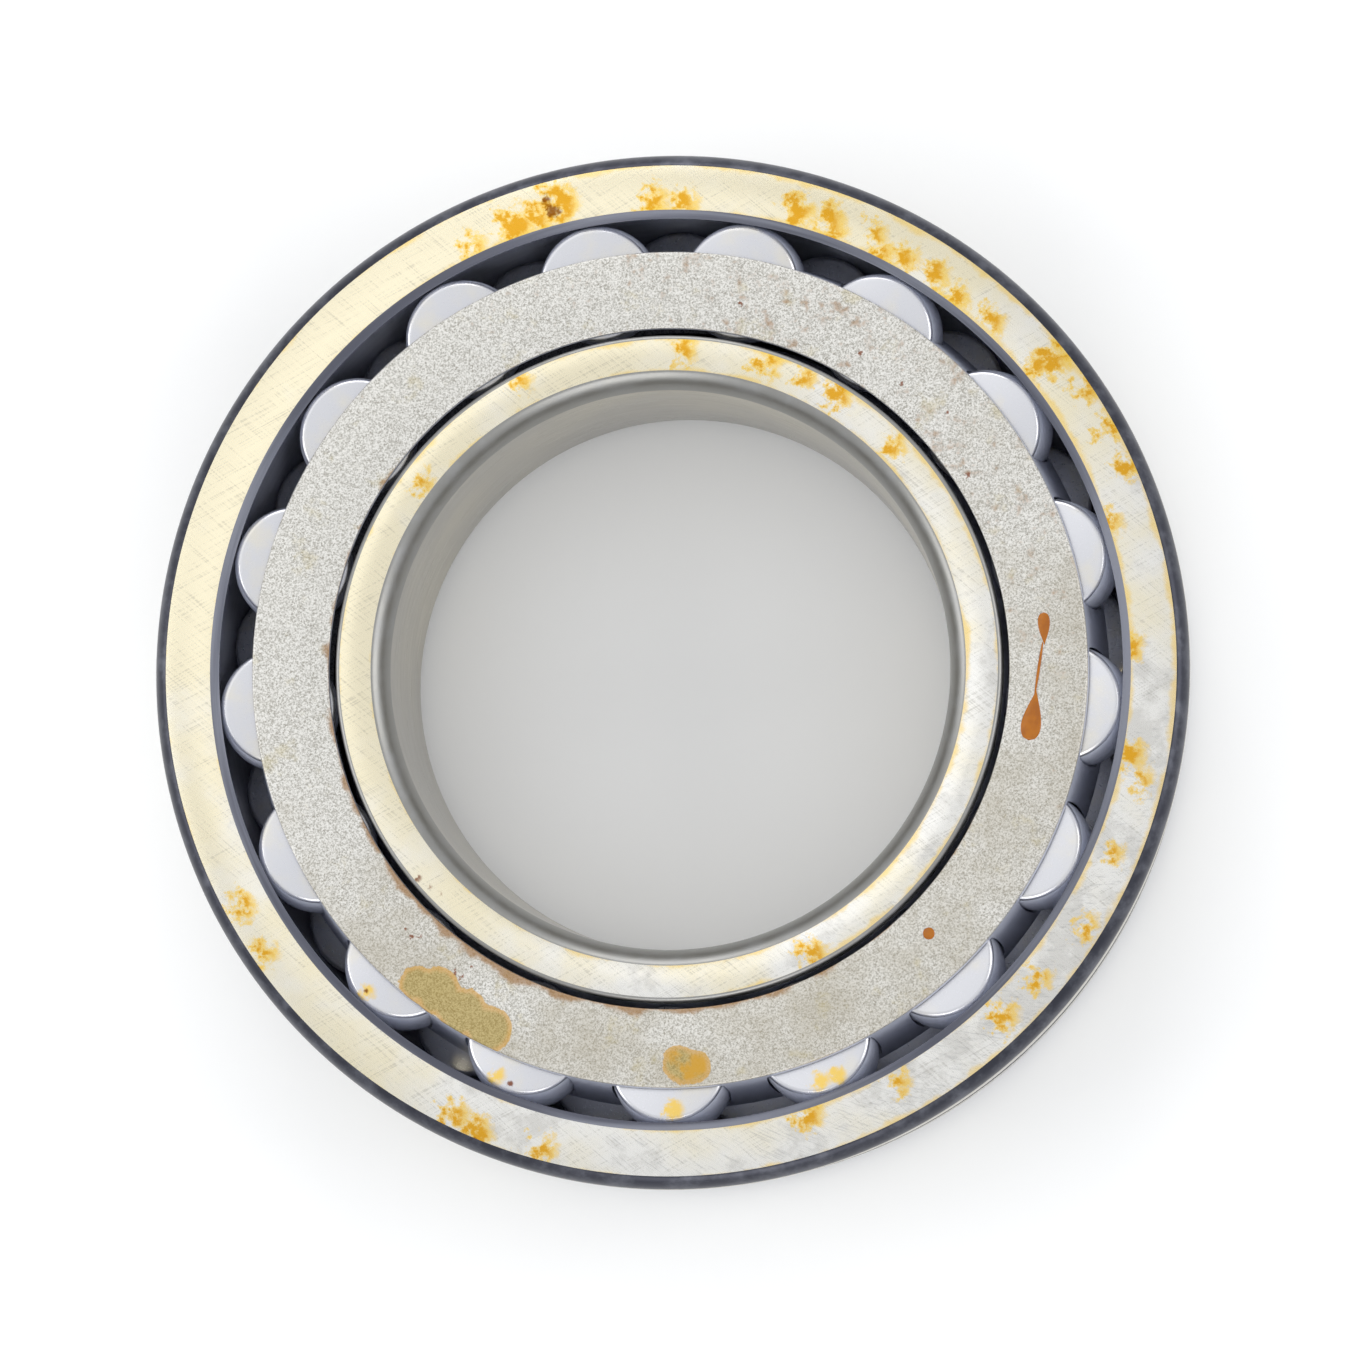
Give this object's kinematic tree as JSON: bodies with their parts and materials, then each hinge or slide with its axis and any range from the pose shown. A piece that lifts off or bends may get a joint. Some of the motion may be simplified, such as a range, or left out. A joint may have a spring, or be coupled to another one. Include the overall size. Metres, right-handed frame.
{
  "type": "spherical roller bearing",
  "caption": "Double-row self-aligning spherical roller bearing: outer and inner ring, barrel rollers in two pressed-steel window cages, and a guide ring between the rows.",
  "frame": {"origin": "the bearing's centre: on the shaft's axis, halfway between the ring faces, where the raceway's sphere has its centre", "axes": "+Z along the shaft's axis out of the front face; +X is the axis of the self-aligning tilt; the front row has one roller exactly towards -Y"},
  "size_m": [0.12, 0.12, 0.031],
  "materials": {
    "ring_steel": "ground bearing steel with a film of preserving oil",
    "roller_steel": "finely ground and lapped bearing steel, oiled",
    "cage_steel": "pressed sheet steel with a matt phosphated surface, oil-stained",
    "guide_iron": "turned sintered iron, oiled"
  },
  "bodies": {
    "outer_ring": {"outer_ring": "ring_steel"},
    "guide_ring": {"guide_ring": "guide_iron"},
    "inner_ring": {"inner_ring": "ring_steel"},
    "cage_front": {"cage_front": "cage_steel"},
    "cage_back": {"cage_back": "cage_steel"},
    "roller_front_01": {"roller_front_01": "roller_steel"},
    "roller_front_02": {"roller_front_02": "roller_steel"},
    "roller_front_03": {"roller_front_03": "roller_steel"},
    "roller_front_04": {"roller_front_04": "roller_steel"},
    "roller_front_05": {"roller_front_05": "roller_steel"},
    "roller_front_06": {"roller_front_06": "roller_steel"},
    "roller_front_07": {"roller_front_07": "roller_steel"},
    "roller_front_08": {"roller_front_08": "roller_steel"},
    "roller_front_09": {"roller_front_09": "roller_steel"},
    "roller_front_10": {"roller_front_10": "roller_steel"},
    "roller_front_11": {"roller_front_11": "roller_steel"},
    "roller_front_12": {"roller_front_12": "roller_steel"},
    "roller_front_13": {"roller_front_13": "roller_steel"},
    "roller_front_14": {"roller_front_14": "roller_steel"},
    "roller_front_15": {"roller_front_15": "roller_steel"},
    "roller_front_16": {"roller_front_16": "roller_steel"},
    "roller_front_17": {"roller_front_17": "roller_steel"},
    "roller_back_01": {"roller_back_01": "roller_steel"},
    "roller_back_02": {"roller_back_02": "roller_steel"},
    "roller_back_03": {"roller_back_03": "roller_steel"},
    "roller_back_04": {"roller_back_04": "roller_steel"},
    "roller_back_05": {"roller_back_05": "roller_steel"},
    "roller_back_06": {"roller_back_06": "roller_steel"},
    "roller_back_07": {"roller_back_07": "roller_steel"},
    "roller_back_08": {"roller_back_08": "roller_steel"},
    "roller_back_09": {"roller_back_09": "roller_steel"},
    "roller_back_10": {"roller_back_10": "roller_steel"},
    "roller_back_11": {"roller_back_11": "roller_steel"},
    "roller_back_12": {"roller_back_12": "roller_steel"},
    "roller_back_13": {"roller_back_13": "roller_steel"},
    "roller_back_14": {"roller_back_14": "roller_steel"},
    "roller_back_15": {"roller_back_15": "roller_steel"},
    "roller_back_16": {"roller_back_16": "roller_steel"},
    "roller_back_17": {"roller_back_17": "roller_steel"}
  },
  "joints": [
    {"name": "self_align", "type": "hinge", "parent": "outer_ring", "child": "guide_ring", "pos_m": [0, 0, 0], "axis": [1, 0, 0], "range_deg": [-2, 2]},
    {"name": "inner_spin", "type": "hinge", "parent": "guide_ring", "child": "inner_ring", "pos_m": [0, 0, 0], "axis": [0, 0, 1], "continuous": true},
    {"name": "cage_front_spin", "type": "hinge", "parent": "guide_ring", "child": "cage_front", "pos_m": [0, 0, 0], "axis": [0, 0, 1], "continuous": true},
    {"name": "cage_back_spin", "type": "hinge", "parent": "guide_ring", "child": "cage_back", "pos_m": [0, 0, 0], "axis": [0, 0, 1], "continuous": true},
    {"name": "roller_front_01_spin", "type": "hinge", "parent": "cage_front", "child": "roller_front_01", "pos_m": [0, -0.04645, 0.0078], "axis": [0, 0.1656, 0.9862], "continuous": true},
    {"name": "roller_front_02_spin", "type": "hinge", "parent": "cage_front", "child": "roller_front_02", "pos_m": [0.01678, -0.04331, 0.0078], "axis": [-0.0598, 0.1544, 0.9862], "continuous": true},
    {"name": "roller_front_03_spin", "type": "hinge", "parent": "cage_front", "child": "roller_front_03", "pos_m": [0.03129, -0.03433, 0.0078], "axis": [-0.1116, 0.1224, 0.9862], "continuous": true},
    {"name": "roller_front_04_spin", "type": "hinge", "parent": "cage_front", "child": "roller_front_04", "pos_m": [0.04158, -0.0207, 0.0078], "axis": [-0.1482, 0.0738, 0.9862], "continuous": true},
    {"name": "roller_front_05_spin", "type": "hinge", "parent": "cage_front", "child": "roller_front_05", "pos_m": [0.04625, -0.00429, 0.0078], "axis": [-0.1649, 0.0153, 0.9862], "continuous": true},
    {"name": "roller_front_06_spin", "type": "hinge", "parent": "cage_front", "child": "roller_front_06", "pos_m": [0.04468, 0.01271, 0.0078], "axis": [-0.1593, -0.0453, 0.9862], "continuous": true},
    {"name": "roller_front_07_spin", "type": "hinge", "parent": "cage_front", "child": "roller_front_07", "pos_m": [0.03707, 0.02799, 0.0078], "axis": [-0.1322, -0.0998, 0.9862], "continuous": true},
    {"name": "roller_front_08_spin", "type": "hinge", "parent": "cage_front", "child": "roller_front_08", "pos_m": [0.02445, 0.03949, 0.0078], "axis": [-0.0872, -0.1408, 0.9862], "continuous": true},
    {"name": "roller_front_09_spin", "type": "hinge", "parent": "cage_front", "child": "roller_front_09", "pos_m": [0.00853, 0.04566, 0.0078], "axis": [-0.0304, -0.1628, 0.9862], "continuous": true},
    {"name": "roller_front_10_spin", "type": "hinge", "parent": "cage_front", "child": "roller_front_10", "pos_m": [-0.00853, 0.04566, 0.0078], "axis": [0.0304, -0.1628, 0.9862], "continuous": true},
    {"name": "roller_front_11_spin", "type": "hinge", "parent": "cage_front", "child": "roller_front_11", "pos_m": [-0.02445, 0.03949, 0.0078], "axis": [0.0872, -0.1408, 0.9862], "continuous": true},
    {"name": "roller_front_12_spin", "type": "hinge", "parent": "cage_front", "child": "roller_front_12", "pos_m": [-0.03707, 0.02799, 0.0078], "axis": [0.1322, -0.0998, 0.9862], "continuous": true},
    {"name": "roller_front_13_spin", "type": "hinge", "parent": "cage_front", "child": "roller_front_13", "pos_m": [-0.04468, 0.01271, 0.0078], "axis": [0.1593, -0.0453, 0.9862], "continuous": true},
    {"name": "roller_front_14_spin", "type": "hinge", "parent": "cage_front", "child": "roller_front_14", "pos_m": [-0.04625, -0.00429, 0.0078], "axis": [0.1649, 0.0153, 0.9862], "continuous": true},
    {"name": "roller_front_15_spin", "type": "hinge", "parent": "cage_front", "child": "roller_front_15", "pos_m": [-0.04158, -0.0207, 0.0078], "axis": [0.1482, 0.0738, 0.9862], "continuous": true},
    {"name": "roller_front_16_spin", "type": "hinge", "parent": "cage_front", "child": "roller_front_16", "pos_m": [-0.03129, -0.03433, 0.0078], "axis": [0.1116, 0.1224, 0.9862], "continuous": true},
    {"name": "roller_front_17_spin", "type": "hinge", "parent": "cage_front", "child": "roller_front_17", "pos_m": [-0.01678, -0.04331, 0.0078], "axis": [0.0598, 0.1544, 0.9862], "continuous": true},
    {"name": "roller_back_01_spin", "type": "hinge", "parent": "cage_back", "child": "roller_back_01", "pos_m": [0.00853, -0.04566, -0.0078], "axis": [0.0304, -0.1628, 0.9862], "continuous": true},
    {"name": "roller_back_02_spin", "type": "hinge", "parent": "cage_back", "child": "roller_back_02", "pos_m": [-0.00853, -0.04566, -0.0078], "axis": [-0.0304, -0.1628, 0.9862], "continuous": true},
    {"name": "roller_back_03_spin", "type": "hinge", "parent": "cage_back", "child": "roller_back_03", "pos_m": [-0.02445, -0.03949, -0.0078], "axis": [-0.0872, -0.1408, 0.9862], "continuous": true},
    {"name": "roller_back_04_spin", "type": "hinge", "parent": "cage_back", "child": "roller_back_04", "pos_m": [-0.03707, -0.02799, -0.0078], "axis": [-0.1322, -0.0998, 0.9862], "continuous": true},
    {"name": "roller_back_05_spin", "type": "hinge", "parent": "cage_back", "child": "roller_back_05", "pos_m": [-0.04468, -0.01271, -0.0078], "axis": [-0.1593, -0.0453, 0.9862], "continuous": true},
    {"name": "roller_back_06_spin", "type": "hinge", "parent": "cage_back", "child": "roller_back_06", "pos_m": [-0.04625, 0.00429, -0.0078], "axis": [-0.1649, 0.0153, 0.9862], "continuous": true},
    {"name": "roller_back_07_spin", "type": "hinge", "parent": "cage_back", "child": "roller_back_07", "pos_m": [-0.04158, 0.0207, -0.0078], "axis": [-0.1482, 0.0738, 0.9862], "continuous": true},
    {"name": "roller_back_08_spin", "type": "hinge", "parent": "cage_back", "child": "roller_back_08", "pos_m": [-0.03129, 0.03433, -0.0078], "axis": [-0.1116, 0.1224, 0.9862], "continuous": true},
    {"name": "roller_back_09_spin", "type": "hinge", "parent": "cage_back", "child": "roller_back_09", "pos_m": [-0.01678, 0.04331, -0.0078], "axis": [-0.0598, 0.1544, 0.9862], "continuous": true},
    {"name": "roller_back_10_spin", "type": "hinge", "parent": "cage_back", "child": "roller_back_10", "pos_m": [0, 0.04645, -0.0078], "axis": [0, 0.1656, 0.9862], "continuous": true},
    {"name": "roller_back_11_spin", "type": "hinge", "parent": "cage_back", "child": "roller_back_11", "pos_m": [0.01678, 0.04331, -0.0078], "axis": [0.0598, 0.1544, 0.9862], "continuous": true},
    {"name": "roller_back_12_spin", "type": "hinge", "parent": "cage_back", "child": "roller_back_12", "pos_m": [0.03129, 0.03433, -0.0078], "axis": [0.1116, 0.1224, 0.9862], "continuous": true},
    {"name": "roller_back_13_spin", "type": "hinge", "parent": "cage_back", "child": "roller_back_13", "pos_m": [0.04158, 0.0207, -0.0078], "axis": [0.1482, 0.0738, 0.9862], "continuous": true},
    {"name": "roller_back_14_spin", "type": "hinge", "parent": "cage_back", "child": "roller_back_14", "pos_m": [0.04625, 0.00429, -0.0078], "axis": [0.1649, 0.0153, 0.9862], "continuous": true},
    {"name": "roller_back_15_spin", "type": "hinge", "parent": "cage_back", "child": "roller_back_15", "pos_m": [0.04468, -0.01271, -0.0078], "axis": [0.1593, -0.0453, 0.9862], "continuous": true},
    {"name": "roller_back_16_spin", "type": "hinge", "parent": "cage_back", "child": "roller_back_16", "pos_m": [0.03707, -0.02799, -0.0078], "axis": [0.1322, -0.0998, 0.9862], "continuous": true},
    {"name": "roller_back_17_spin", "type": "hinge", "parent": "cage_back", "child": "roller_back_17", "pos_m": [0.02445, -0.03949, -0.0078], "axis": [0.0872, -0.1408, 0.9862], "continuous": true}
  ],
  "couplings": [
    {"joint": "cage_front_spin", "follows": "inner_spin", "ratio": 0.4262},
    {"joint": "cage_back_spin", "follows": "inner_spin", "ratio": 0.4262},
    {"joint": "roller_front_01_spin", "follows": "inner_spin", "ratio": -3.2689},
    {"joint": "roller_front_02_spin", "follows": "inner_spin", "ratio": -3.2689},
    {"joint": "roller_front_03_spin", "follows": "inner_spin", "ratio": -3.2689},
    {"joint": "roller_front_04_spin", "follows": "inner_spin", "ratio": -3.2689},
    {"joint": "roller_front_05_spin", "follows": "inner_spin", "ratio": -3.2689},
    {"joint": "roller_front_06_spin", "follows": "inner_spin", "ratio": -3.2689},
    {"joint": "roller_front_07_spin", "follows": "inner_spin", "ratio": -3.2689},
    {"joint": "roller_front_08_spin", "follows": "inner_spin", "ratio": -3.2689},
    {"joint": "roller_front_09_spin", "follows": "inner_spin", "ratio": -3.2689},
    {"joint": "roller_front_10_spin", "follows": "inner_spin", "ratio": -3.2689},
    {"joint": "roller_front_11_spin", "follows": "inner_spin", "ratio": -3.2689},
    {"joint": "roller_front_12_spin", "follows": "inner_spin", "ratio": -3.2689},
    {"joint": "roller_front_13_spin", "follows": "inner_spin", "ratio": -3.2689},
    {"joint": "roller_front_14_spin", "follows": "inner_spin", "ratio": -3.2689},
    {"joint": "roller_front_15_spin", "follows": "inner_spin", "ratio": -3.2689},
    {"joint": "roller_front_16_spin", "follows": "inner_spin", "ratio": -3.2689},
    {"joint": "roller_front_17_spin", "follows": "inner_spin", "ratio": -3.2689},
    {"joint": "roller_back_01_spin", "follows": "inner_spin", "ratio": -3.2689},
    {"joint": "roller_back_02_spin", "follows": "inner_spin", "ratio": -3.2689},
    {"joint": "roller_back_03_spin", "follows": "inner_spin", "ratio": -3.2689},
    {"joint": "roller_back_04_spin", "follows": "inner_spin", "ratio": -3.2689},
    {"joint": "roller_back_05_spin", "follows": "inner_spin", "ratio": -3.2689},
    {"joint": "roller_back_06_spin", "follows": "inner_spin", "ratio": -3.2689},
    {"joint": "roller_back_07_spin", "follows": "inner_spin", "ratio": -3.2689},
    {"joint": "roller_back_08_spin", "follows": "inner_spin", "ratio": -3.2689},
    {"joint": "roller_back_09_spin", "follows": "inner_spin", "ratio": -3.2689},
    {"joint": "roller_back_10_spin", "follows": "inner_spin", "ratio": -3.2689},
    {"joint": "roller_back_11_spin", "follows": "inner_spin", "ratio": -3.2689},
    {"joint": "roller_back_12_spin", "follows": "inner_spin", "ratio": -3.2689},
    {"joint": "roller_back_13_spin", "follows": "inner_spin", "ratio": -3.2689},
    {"joint": "roller_back_14_spin", "follows": "inner_spin", "ratio": -3.2689},
    {"joint": "roller_back_15_spin", "follows": "inner_spin", "ratio": -3.2689},
    {"joint": "roller_back_16_spin", "follows": "inner_spin", "ratio": -3.2689},
    {"joint": "roller_back_17_spin", "follows": "inner_spin", "ratio": -3.2689}
  ]
}
